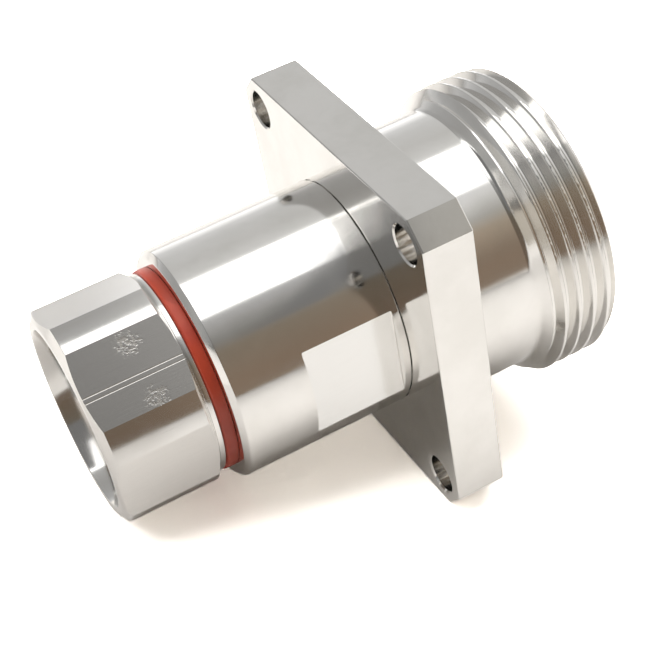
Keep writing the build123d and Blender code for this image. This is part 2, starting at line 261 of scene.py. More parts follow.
class NodeNet:
    """A short way to lay shader nodes and join their sockets."""

    def __init__(self, tree: bpy.types.NodeTree) -> None:
        """Starts with a node tree."""
        self.tree = tree

    def add(self, kind: str, sockets: dict | None = None, **settings: object) -> bpy.types.Node:
        """Adds a node.

        Args:
            kind: The node's type name.
            sockets: Values or output sockets for its inputs, by name or number.
            **settings: The node's own settings.

        Returns:
            The node.
        """
        node = self.tree.nodes.new(kind)
        for name, value in settings.items():
            setattr(node, name, value)
        for key, value in (sockets or {}).items():
            self.put(node.inputs[key], value)
        return node

    def put(self, socket: Socket, value: object) -> None:
        """Joins an output to an input, or sets the input's own value."""
        if isinstance(value, Socket):
            self.tree.links.new(value, socket)
        else:
            socket.default_value = value

    def math(self, operation: str, *values: object, clamp: bool = False) -> Socket:
        """Adds a Math node and returns its result."""
        node = self.add("ShaderNodeMath", dict(enumerate(values)), operation=operation, use_clamp=clamp)
        return node.outputs[0]

    def mix(self, factor: object, first: object, second: object) -> Socket:
        """Mixes two numbers."""
        node = self.add("ShaderNodeMix", {0: factor, 2: first, 3: second}, data_type="FLOAT")
        return node.outputs[0]

    def mix_color(self, factor: object, first: object, second: object) -> Socket:
        """Mixes two colours."""
        node = self.add("ShaderNodeMix", {0: factor, 6: first, 7: second}, data_type="RGBA")
        return node.outputs[2]

    def ramp(self, factor: object, low: object, high: object) -> Socket:
        """Maps a range of a value smoothly onto 0 to 1."""
        limits = {"Value": factor, "From Min": low, "From Max": high}
        return self.add("ShaderNodeMapRange", limits, interpolation_type="SMOOTHSTEP").outputs[0]

    def fade(self, factor: object, low: object, high: object) -> Socket:
        """Maps a range of a value smoothly onto 1 to 0."""
        return self.math("SUBTRACT", 1.0, self.ramp(factor, low, high))

    def noise(self, place: object, scale: object, detail: float, roughness: float = 0.5) -> Socket:
        """Adds noise over a place and returns its value."""
        sockets = {"Vector": place, "Scale": scale, "Detail": detail, "Roughness": roughness}
        return self.add("ShaderNodeTexNoise", sockets).outputs[0]

    def rings(self, place: object, per_metre: object, detail: float) -> Socket:
        """Adds noise along one number and returns its value."""
        sockets = {"W": self.math("MULTIPLY", place, per_metre), "Scale": 1.0, "Detail": detail}
        return self.add("ShaderNodeTexNoise", sockets, noise_dimensions="1D").outputs[0]

    def drawn_out(self, place: object, along: object, across: object) -> Socket:
        """Scales a place by one number along the axis and by another across it."""
        parts = self.add("ShaderNodeSeparateXYZ", {0: place}).outputs
        scaled = {i: self.math("MULTIPLY", parts[i], (along, across, across)[i]) for i in range(3)}
        return self.add("ShaderNodeCombineXYZ", scaled).outputs[0]

    def group(self, tree: bpy.types.NodeTree, place: object, **values: object) -> bpy.types.NodeOutputs:
        """Places a node group at the object coordinates and returns its outputs.

        Args:
            tree: The group.
            place: The object coordinates.
            **values: Values for its other inputs, by their names in small letters with underscores.

        Returns:
            The group's outputs.
        """
        node = self.add("ShaderNodeGroup", node_tree=tree)
        self.put(node.inputs["Vector"], place)
        for name, value in values.items():
            node.inputs[name.capitalize().replace("_", " ")].default_value = value
        return node.outputs

    def bump(self, height: object, depth: float, before: object = None, invert: bool = False) -> Socket:
        """Adds a bump over an earlier normal and returns the new normal."""
        sockets = {"Height": height, "Distance": depth, "Strength": 1.0}
        if before is not None:
            sockets["Normal"] = before
        return self.add("ShaderNodeBump", sockets, invert=invert).outputs[0]


def on_nut_flat(x: float, across: float) -> Vector:
    """Returns a place on the nut's flat that faces up and to the front.

    Args:
        x: The place along the axis.
        across: The distance from the flat's middle, downwards.

    Returns:
        The place, in metres.
    """
    return (Vector((x, 0.0, 0.0)) + NUT_FLAT_NORMAL * NUT_FLAT_RADIUS + NUT_FLAT_ACROSS * across) * MM


def rgba(color: Sequence[float]) -> tuple[float, float, float, float]:
    """Adds full alpha to a colour."""
    return (*color[:3], 1.0)


def new_group(name: str, output: str, inputs: dict[str, float | None]) -> tuple[NodeNet, dict, Socket]:
    """Starts a shader node group that turns a place and some values into one number.

    Args:
        name: The group's name.
        output: The output's name.
        inputs: The value of each input besides "Vector" by its name, or None for a vector.

    Returns:
        The net to lay nodes in, the group's inputs by name, and the socket that takes the result.
    """
    group = bpy.data.node_groups.new(name, "ShaderNodeTree")
    for label, value in {"Vector": None, **inputs}.items():
        kind = "NodeSocketVector" if value is None else "NodeSocketFloat"
        socket = group.interface.new_socket(name=label, in_out="INPUT", socket_type=kind)
        if value is not None:
            socket.default_value = value
    group.interface.new_socket(name=output, in_out="OUTPUT", socket_type="NodeSocketFloat")
    net = NodeNet(group)
    source = net.add("NodeGroupInput")
    return net, source.outputs, net.add("NodeGroupOutput").inputs[output]


def turning_marks_group() -> bpy.types.NodeTree:
    """Builds the fine rings that a turning tool leaves, along the axis and across the faces.

    Returns:
        The group, with the output Height.
    """
    inputs = {"Rings per metre": 9000.0, "Feed rings": 2600.0}
    net, given, out = new_group("turning marks", "Height", inputs)
    parts = net.add("ShaderNodeSeparateXYZ", {0: given["Vector"]}).outputs
    squares = [net.math("POWER", parts[name], 2.0) for name in ("Y", "Z")]
    place = net.math("ADD", parts["X"], net.math("SQRT", net.math("ADD", *squares)))
    fine = net.math("MULTIPLY", net.rings(place, given["Rings per metre"], 2.0), 0.6)
    feed = net.math("MULTIPLY", net.rings(place, given["Feed rings"], 1.0), 0.4)
    net.put(out, net.math("ADD", fine, feed))
    return net.tree


def scratches_group() -> bpy.types.NodeTree:
    """Builds long thin scratches, drawn out along one direction of the vector given.

    Returns:
        The group, with the output Mask.
    """
    inputs = {"Across per metre": 4000.0, "Along per metre": 90.0, "Amount": 0.3}
    net, given, out = new_group("scratches", "Mask", inputs)
    drawn = net.drawn_out(given["Vector"], given["Along per metre"], given["Across per metre"])
    lines = net.noise(drawn, 1.0, 3.0, 0.6)
    edge = net.math("SUBTRACT", 0.78, net.math("MULTIPLY", given["Amount"], 0.3))
    net.put(out, net.ramp(lines, edge, 0.8))
    return net.tree


def smudges_group() -> bpy.types.NodeTree:
    """Builds the soft clouds that handling leaves on a polished surface.

    Returns:
        The group, with the output Cloud.
    """
    net, given, out = new_group("smudges", "Cloud", {"Clouds per metre": 160.0})
    cloud = net.noise(given["Vector"], given["Clouds per metre"], 4.0, 0.6)
    net.put(out, net.ramp(cloud, 0.35, 0.7))
    return net.tree


def grain_group() -> bpy.types.NodeTree:
    """Builds the fine lines that milling leaves along a flat.

    Returns:
        The group, with the output Height.
    """
    inputs = {"Across per metre": 9000.0, "Along per metre": 260.0}
    net, given, out = new_group("milling grain", "Height", inputs)
    drawn = net.drawn_out(given["Vector"], given["Along per metre"], given["Across per metre"])
    net.put(out, net.noise(drawn, 1.0, 4.0, 0.7))
    return net.tree


def scuffs_group() -> bpy.types.NodeTree:
    """Builds a cluster of small dents round one place.

    Returns:
        The group, with the output Mask.
    """
    inputs = {"Centre": None, "Reach": 0.0026, "Dents per metre": 3400.0}
    net, given, out = new_group("scuffs", "Mask", inputs)
    away = net.add("ShaderNodeVectorMath", {0: given["Vector"], 1: given["Centre"]}, operation="DISTANCE")
    near = net.fade(away.outputs["Value"], net.math("MULTIPLY", given["Reach"], 0.2), given["Reach"])
    dents = net.noise(given["Vector"], given["Dents per metre"], 2.0, 0.6)
    net.put(out, net.ramp(net.math("MULTIPLY", dents, near), 0.36, 0.62))
    return net.tree


def long_scratch_group() -> bpy.types.NodeTree:
    """Builds one long straight scratch.

    Returns:
        The group, with the output Mask.
    """
    inputs = {"Across": None, "Offset": 0.0, "Half width": 0.00006}
    net, given, out = new_group("long scratch", "Mask", inputs)
    along = net.add("ShaderNodeVectorMath", {0: given["Vector"], 1: given["Across"]}, operation="DOT_PRODUCT")
    away = net.math("ABSOLUTE", net.math("SUBTRACT", along.outputs["Value"], given["Offset"]))
    edge = net.math("MULTIPLY", given["Half width"], 0.2)
    net.put(out, net.fade(away, edge, given["Half width"]))
    return net.tree


class Effects:
    """The shared shader node groups, built once."""

    def __init__(self) -> None:
        """Builds the groups."""
        self.turning = turning_marks_group()
        self.scratches = scratches_group()
        self.smudges = smudges_group()
        self.grain = grain_group()
        self.scuffs = scuffs_group()
        self.long_scratch = long_scratch_group()


def bare_net(owner: Material | bpy.types.World) -> NodeNet:
    """Empties the node tree of a material or a world and returns a net for it."""
    owner.use_nodes = True
    owner.node_tree.nodes.clear()
    return NodeNet(owner.node_tree)


def start_material(name: str) -> tuple[Material, NodeNet, bpy.types.Node, Socket]:
    """Starts a material with its shader and object coordinates.

    Args:
        name: The material's name.

    Returns:
        The material, its net, its Principled shader and the object coordinates.
    """
    material = bpy.data.materials.new(name)
    material.use_nodes = True
    net = NodeNet(material.node_tree)
    shader = next(n for n in material.node_tree.nodes if n.type == "BSDF_PRINCIPLED")
    return material, net, shader, net.add("ShaderNodeTexCoord").outputs["Object"]


@dataclass(frozen=True)
class Plating:
    """A bright metal finish over turned and milled brass."""

    name: str
    color: Color
    dull_color: Color
    roughness: float = 0.1
    smudge_roughness: float = 0.05
    ring_depth: float = 0.0000002
    scratch_amount: float = 0.2
    scratch_depth: float = 0.000001
    scratch_roughness: float = 0.15

    def build(self, effects: Effects) -> Material:
        """Builds the material.

        Args:
            effects: The shared node groups.

        Returns:
            The material.
        """
        material, net, shader, place = start_material(self.name)
        shader.inputs["Metallic"].default_value = 1.0
        rings = net.group(effects.turning, place)["Height"]
        marks = net.group(effects.scratches, place, amount=self.scratch_amount)["Mask"]
        cloud = net.group(effects.smudges, place)["Cloud"]
        net.put(shader.inputs["Base Color"], net.mix_color(cloud, rgba(self.color), rgba(self.dull_color)))
        rough = net.mix(cloud, self.roughness, self.roughness + self.smudge_roughness)
        rough = net.mix(marks, rough, self.roughness + self.scratch_roughness)
        net.put(shader.inputs["Roughness"], rough)
        turned = net.bump(rings, self.ring_depth)
        net.put(shader.inputs["Normal"], net.bump(marks, self.scratch_depth, turned, invert=True))
        return material


@dataclass(frozen=True)
class Milled:
    """A milled and plated flat, with grain along it, dents and long scratches."""

    name: str
    color: Color
    worn_color: Color
    roughness: float = 0.14
    worn_roughness: float = 0.1
    grain_shade: float = 0.9
    grain_depth: float = 0.0000012
    dent_depth: float = 0.00003
    dents: tuple[Vector, ...] = ()
    scratch_depth: float = 0.000012
    scratch_across: Vector = Vector((0.0, 1.0, 0.0))
    scratches: tuple[float, ...] = ()

    def build(self, effects: Effects) -> Material:
        """Builds the material.

        Args:
            effects: The shared node groups.

        Returns:
            The material.
        """
        material, net, shader, place = start_material(self.name)
        shader.inputs["Metallic"].default_value = 1.0
        grain = net.group(effects.grain, place)["Height"]
        worn = cut = 0.0
        for centre in self.dents:
            worn = net.math("MAXIMUM", worn, net.group(effects.scuffs, place, centre=centre)["Mask"])
        for offset in self.scratches:
            line = net.group(effects.long_scratch, place, across=self.scratch_across, offset=offset)
            cut = net.math("MAXIMUM", cut, line["Mask"])
        deep_color = [self.grain_shade * c for c in self.color]
        tone = net.mix_color(grain, rgba(self.color), rgba(deep_color))
        marked = net.math("MAXIMUM", worn, cut)
        net.put(shader.inputs["Base Color"], net.mix_color(marked, tone, rgba(self.worn_color)))
        rough = net.mix(marked, self.roughness, self.roughness + self.worn_roughness)
        net.put(shader.inputs["Roughness"], rough)
        normal = net.bump(grain, self.grain_depth)
        for height, depth in ((worn, self.dent_depth), (cut, self.scratch_depth)):
            normal = net.bump(height, depth, normal, invert=True)
        net.put(shader.inputs["Normal"], normal)
        return material


@dataclass(frozen=True)
class Moulded:
    """A moulded rubber or plastic finish."""

    name: str
    color: Color
    deep_color: Color
    roughness: float = 0.35
    grain_per_metre: float = 2500.0
    grain_depth: float = 0.000002
    smudge_roughness: float = 0.12
    glow: float = 0.0
    glow_depth: float = 0.0005

    def build(self, effects: Effects) -> Material:
        """Builds the material.

        Args:
            effects: The shared node groups.

        Returns:
            The material.
        """
        material, net, shader, place = start_material(self.name)
        cloud = net.group(effects.smudges, place)["Cloud"]
        net.put(shader.inputs["Base Color"], net.mix_color(cloud, rgba(self.color), rgba(self.deep_color)))
        rough = net.mix(cloud, self.roughness, self.roughness + self.smudge_roughness)
        net.put(shader.inputs["Roughness"], rough)
        shader.inputs["Subsurface Weight"].default_value = self.glow
        shader.inputs["Subsurface Scale"].default_value = self.glow_depth
        grain = net.noise(place, self.grain_per_metre, 2.0)
        net.put(shader.inputs["Normal"], net.bump(grain, self.grain_depth))
        return material


BRIGHT = (0.86, 0.845, 0.82)
FINISHES = {
    "shell": Plating("bright turned plating", BRIGHT, (0.8, 0.785, 0.755)),
    "nut": Plating(
        "bright plating with scratches", BRIGHT, (0.8, 0.78, 0.75), roughness=0.12, scratch_amount=0.6
    ),
    "milled": Milled("milled sleeve flat", (0.87, 0.865, 0.85), (0.87, 0.865, 0.85)),
    "nut_flat": Milled(
        "milled nut flat",
        (0.86, 0.84, 0.81),
        (0.88, 0.85, 0.8),
        grain_depth=0.000004,
        dent_depth=0.00001,
        scratch_depth=0.000008,
        dents=(on_nut_flat(-22.1, -2.4), on_nut_flat(-21.9, 2.8)),
        scratch_across=NUT_FLAT_ACROSS,
        scratches=(0.0004, 0.00086),
    ),
    "contact": Plating("silver plating", (0.93, 0.92, 0.89), (0.88, 0.86, 0.82), roughness=0.14),
    "ring": Plating("satin plating", (0.8, 0.76, 0.68), (0.74, 0.7, 0.62), roughness=0.25),
    "wire": Plating("drawn spring wire", (0.6, 0.6, 0.6), (0.52, 0.52, 0.52), roughness=0.3),
    "red": Moulded("red silicone", (0.4, 0.05, 0.022), (0.33, 0.036, 0.018), roughness=0.32, glow=0.05),
    "dark": Moulded("dark rubber", (0.03, 0.03, 0.03), (0.02, 0.02, 0.02), roughness=0.45),
    "white": Moulded("white dielectric", (0.86, 0.86, 0.84), (0.8, 0.8, 0.78), roughness=0.3, glow=0.3),
}
CARRIED_OVER = {
    "body_seal": "dark",
    "front_bead": "white",
    "rear_bead": "white",
    "centre_contact": "contact",
    "contact_cone": "contact",
    "clamp_ring": "ring",
    "garter_spring": "wire",
    "thrust_washer": "ring",
    "jacket_seal": "red",
}


def dress(piece: Piece, material: Material) -> None:
    """Gives a piece one material in place of those it has.

    Args:
        piece: The piece.
        material: Its new material.
    """
    if piece.data.materials:
        for slot in piece.material_slots:
            slot.material = material
    else:
        piece.data.materials.append(material)


def dress_flats(piece: Piece, material: Material, distance: float) -> None:
    """Gives the flats of a turned piece a finish of their own.

    Args:
        piece: The piece, which has its main finish already.
        material: The flats' finish.
        distance: The flats' distance from the axis, in millimetres.
    """
    piece.data.materials.append(material)
    for face in piece.data.polygons:
        level = abs(face.normal.x) < 0.01 and abs(face.normal.dot(face.center) / MM - distance) < 0.004
        if level and face.area > 0.5 * MM * MM:
            face.material_index = 1


@dataclass
class ScrewThread:
    """A right-handed V thread on a bar, with rounded crests and roots."""

    crest_r: float
    pitch: float = 1.5
    depth: float = 0.86
    crest_flat: float = 0.26
    root_flat: float = 0.24
    rounding: float = 0.07
    steps: int = 180

    def outline(self) -> list[tuple[float, float]]:
        """Returns one pitch of the outline, from one crest to the next, as (x, r)."""
        root = self.crest_r - self.depth
        half = self.pitch / 2
        corners = [
            Corner(0.0, self.crest_r),
            Corner(self.crest_flat / 2, self.crest_r, self.rounding),
            Corner(half - self.root_flat / 2, root, self.rounding),
            Corner(half + self.root_flat / 2, root, self.rounding),
            Corner(self.pitch - self.crest_flat / 2, self.crest_r, self.rounding),
            Corner(self.pitch, self.crest_r),
        ]
        return rounded(corners, steps=4)

    def bar(self, name: str, begin: float, end: float) -> Piece:
        """Builds a solid bar with the thread on it.

        Args:
            name: The object's name.
            begin: Where the bar begins. A crest passes its top there.
            end: Where the bar ends.

        Returns:
            The bar.
        """
        turns = math.ceil((end - begin) / self.pitch) + 1
        bm = bmesh.new()
        verts = [bm.verts.new(((begin - self.pitch + x) * MM, 0.0, r * MM)) for x, r in self.outline()]
        edges = [bm.edges.new(pair) for pair in zip(verts, verts[1:])]
        bmesh.ops.spin(
            bm,
            geom=verts + edges,
            cent=(0, 0, 0),
            axis=AXIS,
            dvec=AXIS * (self.pitch * MM / self.steps),
            angle=math.tau * turns,
            steps=self.steps * turns,
            use_merge=False,
        )
        bmesh.ops.remove_doubles(bm, verts=bm.verts, dist=1e-7)
        for x, side in ((begin, -1), (end, 1)):
            bmesh.ops.bisect_plane(
                bm,
                geom=[*bm.verts, *bm.edges, *bm.faces],
                plane_co=(x * MM, 0, 0),
                plane_no=AXIS * side,
                dist=1e-8,
                clear_outer=True,
            )
        bmesh.ops.holes_fill(bm, edges=[e for e in bm.edges if e.is_boundary], sides=0)
        bmesh.ops.recalc_face_normals(bm, faces=bm.faces)
        return finish_mesh(bm, name)


@dataclass
class FrontShell:
    """Flange, neck, mating thread and spigot: one turned and milled piece."""

    flange_thickness: float = 4.8
    flange_corner: float = 2.1
    edge_break: float = 0.15
    plate_bore: float = 8.8
    neck_r: float = 12.8
    neck_root_fillet: float = 0.35
    neck_end: float = 12.1
    neck_fillet: float = 0.8
    shoulder_end: float = 13.7
    thread_begin: float = 10.58
    wide_end: float = 12.4
    front_chamfer: float = 0.75
    edge_round: float = 0.08
    mouth_flare: float = 1.5
    mouth_depth: float = 1.6
    air_line_r: float = 8.0
    rear_bore_r: float = 8.4
    bore_step: float = 3.4
    spigot_r: float = 9.2
    spigot_chamfer: float = 0.3
    spot_face_r: float = 11.05
    spot_face_depth: float = 0.2

    def build(self) -> Piece:
        """Builds the piece.

        Returns:
            The piece, at its place in the frame.
        """
        low, high = box_mm("front_shell")
        thread_r = mount("mating_thread")["dims"]["r_mm"]
        piece = self._turned(low.x, high.x, thread_r)
        combine(piece, self._plate(high.z), Combine.ADD)
        combine(piece, self._hole_tools(), Combine.CUT)
        combine(piece, self._spot_face_tool(), Combine.CUT)
        combine(piece, self._threaded_envelope(thread_r, low.x, high.x), Combine.KEEP)
        smooth(piece)
        return piece

    def _turned(self, rear: float, front: float, thread_r: float) -> Piece:
        """Turns the shell without its plate and thread.

        Args:
            rear: The spigot's end.
            front: The mating end.
            thread_r: The radius over the thread's crests.

        Returns:
            The turned solid, with its bore.
        """
        recess = mount("mating_recess")["dims"]
        middle = self.flange_thickness / 2
        recess_r = recess["r_mm"]
        contact_plane = front - self.mouth_depth - recess["length_mm"]
        corners = [
            Corner(rear, self.rear_bore_r),
            Corner(rear, self.spigot_r - self.spigot_chamfer),
            Corner(rear + self.spigot_chamfer, self.spigot_r),
            Corner(middle, self.spigot_r),
            Corner(middle, self.neck_r + self.neck_root_fillet),
            Corner(self.flange_thickness, self.neck_r + self.neck_root_fillet),
            Corner(self.flange_thickness + self.neck_root_fillet, self.neck_r, self.neck_root_fillet / 2),
            Corner(self.neck_end, self.neck_r, self.neck_fillet),
            Corner(self.shoulder_end, thread_r, self.edge_round),
            Corner(front - self.front_chamfer, thread_r, self.edge_round),
            Corner(front, thread_r - self.front_chamfer, self.edge_round),
            Corner(front, recess_r + self.mouth_flare, self.edge_round),
            Corner(front - self.mouth_depth, recess_r, self.edge_round),
            Corner(contact_plane, recess_r),
            Corner(contact_plane, self.air_line_r, self.edge_round),
            Corner(self.bore_step, self.air_line_r),
            Corner(self.bore_step, self.rear_bore_r),
        ]
        return lathe("threaded_shell", corners)

    def _plate(self, half_side: float) -> Piece:
        """Builds the square plate with chamfered corners and broken edges.

        Args:
            half_side: Half the plate's side.

        Returns:
            The plate, with a bore smaller than the spigot.
        """
        bm = bmesh.new()
        side = 2 * half_side * MM
        place = Matrix.Translation((self.flange_thickness / 2 * MM, 0, 0)) @ Matrix.Diagonal(
            (self.flange_thickness * MM, side, side, 1)
        )
        bmesh.ops.create_cube(bm, size=1.0, matrix=place)
        along = [e for e in bm.edges if abs((e.verts[0].co - e.verts[1].co).normalized().dot(AXIS)) > 0.9]
        break_edges(bm, along, self.flange_corner, 1)
        rims = [e for e in bm.edges if e.calc_face_angle(0) > STEEP_ANGLE]
        break_edges(bm, rims, self.edge_break)
        plate = finish_mesh(bm, "plate")
        core = lathe_plug("plate_core", -self.flange_thickness, 2 * self.flange_thickness, self.plate_bore)
        combine(plate, core, Combine.CUT)
        return plate

    def _hole_tools(self) -> Piece:
        """Builds the four cutters for the holes, each with a flare that breaks the hole's rims.

        Returns:
            The cutters, as one object.
        """
        holes = mount("panel_holes")["dims"]
        hole_r = holes["hole_r_mm"]
        reach = 1.0
        flare = hole_r + self.edge_break + reach
        corners = [
            (-reach, flare),
            (self.edge_break, hole_r),
            (self.flange_thickness - self.edge_break, hole_r),
            (self.flange_thickness + reach, flare),
        ]
        bm = bmesh.new()
        for y in (-1, 1):
            for z in (-1, 1):
                centre = Vector((0, y * holes["spacing_x_mm"] / 2 * MM, z * holes["spacing_y_mm"] / 2 * MM))
                add_plug(bm, corners, centre, HOLE_STEPS)
        return finish_mesh(bm, "hole_tools")

    def _spot_face_tool(self) -> Piece:
        """Builds the cutter for the shallow seat of the sleeve's end."""
        corners = [
            Corner(-1.0, self.spigot_r),
            Corner(-1.0, self.spot_face_r),
            Corner(self.spot_face_depth, self.spot_face_r),
            Corner(self.spot_face_depth, self.spigot_r),
        ]
        return lathe("spot_face_tool", corners)

    def _threaded_envelope(self, thread_r: float, rear: float, front: float) -> Piece:
        """Builds the solid that the shell is kept within: a wide bar, and the thread in front of it.

        Args:
            thread_r: The radius over the thread's crests.
            rear: The spigot's end.
            front: The mating end.

        Returns:
            The envelope.
        """
        bar = ScrewThread(crest_r=thread_r + 0.002).bar("thread_bar", self.thread_begin, front + 1.0)
        wide = lathe_plug("wide_bar", rear - 1.0, self.wide_end, 2 * thread_r)
        combine(bar, wide, Combine.ADD)
        return bar


def add_plug(
    bm: bmesh.types.BMesh, corners: Sequence[tuple[float, float]], centre: Vector, steps: int
) -> None:
    """Adds a solid turned body with closed ends to a mesh.

    Args:
        bm: The mesh.
        corners: The outer outline as (x, r), in millimetres.
        centre: A point on the body's own axis, in metres.
        steps: The number of steps round it.
    """
    ends = [bm.verts.new(centre + Vector((x * MM, 0, 0))) for x in (corners[0][0], corners[-1][0])]
    line = [bm.verts.new(centre + Vector((x * MM, 0, r * MM))) for x, r in corners]
    chain = [ends[0], *line, ends[1]]
    edges = [bm.edges.new(pair) for pair in zip(chain, chain[1:])]
    bmesh.ops.spin(
        bm, geom=chain + edges, cent=centre, axis=AXIS, angle=math.tau, steps=steps, use_merge=True
    )
    bmesh.ops.remove_doubles(bm, verts=bm.verts, dist=1e-8)
    bmesh.ops.recalc_face_normals(bm, faces=bm.faces)


def lathe_plug(name: str, start: float, end: float, radius: float, steps: int = LATHE_STEPS) -> Piece:
    """Builds a solid cylinder on the axis.

    Args:
        name: The object's name.
        start: Where it starts.
        end: Where it ends.
        radius: Its radius.
        steps: The number of steps round it.

    Returns:
        The cylinder.
    """
    bm = bmesh.new()
    add_plug(bm, [(start, radius), (end, radius)], Vector(), steps)
    return finish_mesh(bm, name)


@dataclass
class RearSleeve:
    """The sleeve behind the flange, with two opposite wrench flats."""

    end_chamfer: float = 0.5
    seat_step: float = 0.14
    edge_round: float = 0.08
    flat_depth: float = 1.0
    flat_distance: float = 10.0
    flat_length: float = 8.8
    flat_rim: float = 0.7
    flat_corner: float = 0.12
    bore_r: float = 9.25
    land_r: float = 8.45
    land_front: float = -6.3
    land_rear: float = -8.0

    def build(self) -> Piece:
        """Builds the piece.

        Returns:
            The piece, at its place in the frame.
        """
        low, high = box_mm("rear_sleeve")
        radius = high.z
        corners = [
            Corner(high.x, self.bore_r),
            Corner(high.x, radius - self.seat_step),
            Corner(0.0, radius - self.seat_step),
            Corner(0.0, radius, self.seat_step * 0.95),
            Corner(low.x + self.end_chamfer, radius, self.edge_round),
            Corner(low.x, radius - self.end_chamfer, self.edge_round),
            Corner(low.x, self.bore_r),
            Corner(self.land_rear, self.bore_r),
            Corner(self.land_rear, self.land_r),
            Corner(self.land_front, self.land_r),
            Corner(self.land_front, self.bore_r),
        ]
        piece = lathe("sleeve", corners)
        combine(piece, self._flat_tools(radius), Combine.CUT)
        smooth(piece)
        return piece

    def _flat_tools(self, radius: float) -> Piece:
        """Builds the two cutters for the wrench flats.

        Args:
            radius: The sleeve's outer radius.

        Returns:
            The cutters, as one object.
        """
        bm = bmesh.new()
        depth = 4 * self.flat_depth
        size = Matrix.Diagonal((self.flat_length * MM, depth * MM, 2 * radius * MM, 1))
        for side in (-1, 1):
            middle = side * (radius - self.flat_depth + depth / 2)
            place = Matrix.Translation(((-self.flat_rim - self.flat_length / 2) * MM, middle * MM, 0))
            bmesh.ops.create_cube(bm, size=1.0, matrix=place @ size)
        floor_edges = [
            e
            for e in bm.edges
            if all(abs(abs(v.co.y) - (radius - self.flat_depth) * MM) < 1e-6 for v in e.verts)
            and abs(e.verts[0].co.x - e.verts[1].co.x) < 1e-6
        ]
        break_edges(bm, floor_edges, self.flat_corner)
        return finish_mesh(bm, "flat_tools")


@dataclass
class ClampNut:
    """The clamp nut: a hexagon with turned corners, a collar and a tip that goes into the sleeve."""

    flats: int = 6
    flat_r: float = NUT_FLAT_RADIUS
    corner_r: float = 10.15
    face_r: float = 9.2
    chamfer_degrees: float = 30.0
    edge_round: float = 0.06
    hex_front: float = -18.75
    collar_r: float = 9.5
    collar_front: float = -17.8
    front_drop: float = 0.35
    front_rise: float = 0.05
    neck_depth: float = 0.12
    neck_length: float = 0.1
    relief_r: float = 8.6
    relief_end: float = -16.4
    thread_r: float = 9.0
    tip_chamfer: float = 0.4
    bore_flare: float = 0.4
    bore_flare_length: float = 2.0
    seal_groove_r: float = 8.85
    seal_rear: float = -22.5
    seal_front: float = -20.6
    inner_r: float = 7.3
    pocket_end: float = -14.55
    pocket_r: float = 7.95

    def build(self) -> Piece:
        """Builds the piece.

        Returns:
            The piece, at its place in the frame.
        """
        low, high = box_mm("clamp_nut")
        bore_r = mount("cable_bore")["dims"]["r_mm"]
        drop = (self.corner_r - self.face_r) * math.tan(math.radians(self.chamfer_degrees))
        front = self.hex_front + self.front_drop
        corners = [
            Corner(low.x, bore_r + self.bore_flare, self.edge_round),
            Corner(low.x, self.face_r, self.edge_round),
            Corner(low.x + drop, self.corner_r, self.edge_round),
            Corner(self.hex_front, self.corner_r, self.edge_round),
            Corner(front, self.flat_r + self.front_rise, self.edge_round),
            Corner(front, self.collar_r - self.neck_depth),
            Corner(front + self.neck_length, self.collar_r - self.neck_depth),
            Corner(front + self.neck_length, self.collar_r, self.edge_round),
            Corner(self.collar_front, self.collar_r, self.edge_round),
            Corner(self.collar_front, self.relief_r),
            Corner(self.relief_end, self.relief_r),
            Corner(self.relief_end + self.thread_r - self.relief_r, self.thread_r),
            Corner(high.x - self.tip_chamfer, self.thread_r),
            Corner(high.x, self.thread_r - self.tip_chamfer),
            Corner(high.x, self.pocket_r),
            Corner(self.pocket_end, self.pocket_r),
            Corner(self.pocket_end, self.inner_r),
            Corner(self.seal_front, self.inner_r),
            Corner(self.seal_front, self.seal_groove_r),
            Corner(self.seal_rear, self.seal_groove_r),
            Corner(self.seal_rear, bore_r),
            Corner(low.x + self.bore_flare_length, bore_r),
        ]
        piece = lathe("hexagon_nut", corners)
        combine(piece, self._hexagon_tool(low.x), Combine.CUT)
        smooth(piece)
        return piece

    def _hexagon_tool(self, rear: float) -> Piece:
        """Builds the cutter for the flats: a wide ring with a hexagonal hole.

        Args:
            rear: The nut's end.

        Returns:
            The cutter.
        """
        start = rear - 1.0
        length = self.hex_front + self.front_drop + self.neck_length / 2 - start
        corner = self.flat_r / math.cos(math.pi / self.flats)
        turn = Matrix.Rotation(math.pi / 2 + NUT_TURN, 4, "X")
        place = Matrix.Translation(((start + length / 2) * MM, 0, 0))
        lay = Matrix.Rotation(math.pi / 2, 4, "Y")
        outer = lathe_plug("hexagon_tool", start, start + length, 2 * self.corner_r, HOLE_STEPS)
        bm = bmesh.new()
        bmesh.ops.create_cone(
            bm,
            cap_ends=True,
            cap_tris=False,
            segments=self.flats,
            radius1=corner * MM,
            radius2=corner * MM,
            depth=2 * length * MM,
            matrix=place @ turn @ lay,
        )
        bmesh.ops.recalc_face_normals(bm, faces=bm.faces)
        combine(outer, finish_mesh(bm, "hexagon_core"), Combine.CUT)
        return outer


@dataclass
class Gasket:
    """The red ring between the nut's collar and the sleeve's end."""

    outer_r: float = 9.65
    inner_r: float = 8.65
    rear: float = -17.75
    front: float = -16.62
    rear_round: float = 0.25
    front_round: float = 0.08

    def build(self) -> Piece:
        """Builds the ring."""
        corners = [
            Corner(self.rear, self.inner_r),
            Corner(self.rear, self.outer_r, self.rear_round),
            Corner(self.front, self.outer_r, self.front_round),
            Corner(self.front, self.inner_r),
        ]
        return lathe("gasket_ring", corners)


